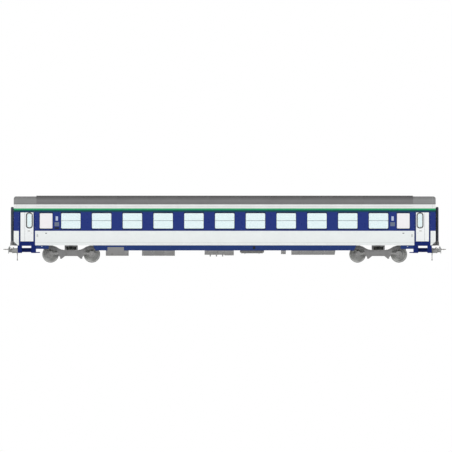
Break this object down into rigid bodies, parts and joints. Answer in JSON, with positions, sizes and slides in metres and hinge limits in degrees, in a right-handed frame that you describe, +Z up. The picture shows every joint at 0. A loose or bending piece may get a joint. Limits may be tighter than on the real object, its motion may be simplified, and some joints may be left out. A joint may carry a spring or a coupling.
{
  "type": "railway passenger coach",
  "caption": "Main-line railway passenger coach: long shell with a row of large windows, entrance doors at both ends, rubber gangways, buffers and two four-wheel bogies.",
  "frame": {"origin": "under the middle of the coach, at the lowest point of the wheel flanges", "axes": "+X along the coach, +Y across it, +Z up"},
  "size_m": [27, 2.825, 4.082],
  "materials": {
    "floor_plate": "matt grey floor and floor pan",
    "underframe_paint": "dark grey frame paint, dusty",
    "side_livery": "gloss livery: pale lower panel, dark blue window band, green line",
    "end_paint": "dark blue end paint",
    "roof_paint": "matt mid-grey roof paint with a pale band at its foot",
    "roof_end_paint": "matt grey roof paint with a pale band at its foot",
    "sill_paint": "dark blue sill paint",
    "window_glass": "pale tinted glass",
    "frosted_glass": "frosted white glass",
    "door_paint": "gloss white door paint",
    "frame_paint": "dark blue frame paint",
    "step_paint": "dark blue step paint, scuffed treads",
    "end_door_metal": "brushed metal door with a window",
    "gangway_rubber": "black ribbed rubber",
    "gear_paint": "grey paint, greasy at the faces",
    "coupling_steel": "bare forged steel, oiled",
    "equipment_paint": "matt warm grey paint",
    "wall_laminate": "pale laminate",
    "seat_shell": "moulded grey seat shell",
    "seat_fabric": "woven blue wool moquette",
    "rack_metal": "anodised rack",
    "bogie_paint": "matt grey frame paint, dusty",
    "spring_steel": "black spring paint",
    "axle_box_iron": "grey painted casting",
    "brake_iron": "dark cast iron",
    "wheel_steel": "rolled steel, bright at the tread"
  },
  "bodies": {
    "coach": {"floor": "floor_plate", "underframe": "underframe_paint", "headstocks": "underframe_paint", "side_wall_left": "side_livery", "side_wall_right": "side_livery", "end_wall_a": "end_paint", "end_wall_b": "end_paint", "roof_middle": "roof_paint", "roof_end_a": "roof_end_paint", "roof_end_b": "roof_end_paint", "sills": "sill_paint", "window_panes": "window_glass", "toilet_panes": "frosted_glass", "entrance_door_a_left": "door_paint", "entrance_door_a_right": "door_paint", "entrance_door_b_left": "door_paint", "entrance_door_b_right": "door_paint", "door_panes": "window_glass", "door_frames": "frame_paint", "entrance_steps": "step_paint", "gangway_rubber_a": "gangway_rubber", "gangway_rubber_b": "gangway_rubber", "gangway_feet": "gear_paint", "buffers_a": "gear_paint", "buffers_b": "gear_paint", "couplings": "coupling_steel", "battery_boxes": "equipment_paint", "converter_boxes": "equipment_paint", "climate_unit": "equipment_paint", "air_reservoirs": "equipment_paint", "valve_boxes": "equipment_paint", "water_tanks": "equipment_paint", "partitions": "wall_laminate", "seat_frames": "seat_shell", "seat_cushions": "seat_fabric", "seat_backs": "seat_fabric", "luggage_racks": "rack_metal"},
    "bogie_a": {"bogie_frame_a": "bogie_paint", "bolster_a": "bogie_paint", "springs_a": "spring_steel", "axle_boxes_a": "axle_box_iron", "brake_gear_a": "brake_iron"},
    "bogie_b": {"bogie_frame_b": "bogie_paint", "bolster_b": "bogie_paint", "springs_b": "spring_steel", "axle_boxes_b": "axle_box_iron", "brake_gear_b": "brake_iron"},
    "end_door_a": {"end_door_a": "end_door_metal"},
    "end_door_b": {"end_door_b": "end_door_metal"},
    "wheels_a1": {"wheelset_a1": "wheel_steel"},
    "wheels_a2": {"wheelset_a2": "wheel_steel"},
    "wheels_b1": {"wheelset_b1": "wheel_steel"},
    "wheels_b2": {"wheelset_b2": "wheel_steel"}
  },
  "joints": [
    {"name": "bogie_a_turn", "type": "hinge", "parent": "coach", "child": "bogie_a", "pos_m": [-9.36, 0, 0.95], "axis": [0, 0, 1], "range_deg": [-6, 6]},
    {"name": "wheels_a1_turn", "type": "hinge", "parent": "bogie_a", "child": "wheels_a1", "pos_m": [-10.62, 0, 0.503], "axis": [0, 1, 0], "continuous": true},
    {"name": "wheels_a2_turn", "type": "hinge", "parent": "bogie_a", "child": "wheels_a2", "pos_m": [-8.1, 0, 0.503], "axis": [0, 1, 0], "continuous": true},
    {"name": "end_door_a_slide", "type": "slide", "parent": "coach", "child": "end_door_a", "axis": [0, 1, 0], "range_m": [0, 0.82]},
    {"name": "bogie_b_turn", "type": "hinge", "parent": "coach", "child": "bogie_b", "pos_m": [9.36, 0, 0.95], "axis": [0, 0, 1], "range_deg": [-6, 6]},
    {"name": "wheels_b1_turn", "type": "hinge", "parent": "bogie_b", "child": "wheels_b1", "pos_m": [8.1, 0, 0.503], "axis": [0, 1, 0], "continuous": true},
    {"name": "wheels_b2_turn", "type": "hinge", "parent": "bogie_b", "child": "wheels_b2", "pos_m": [10.62, 0, 0.503], "axis": [0, 1, 0], "continuous": true},
    {"name": "end_door_b_slide", "type": "slide", "parent": "coach", "child": "end_door_b", "axis": [0, 1, 0], "range_m": [0, 0.82]}
  ]
}
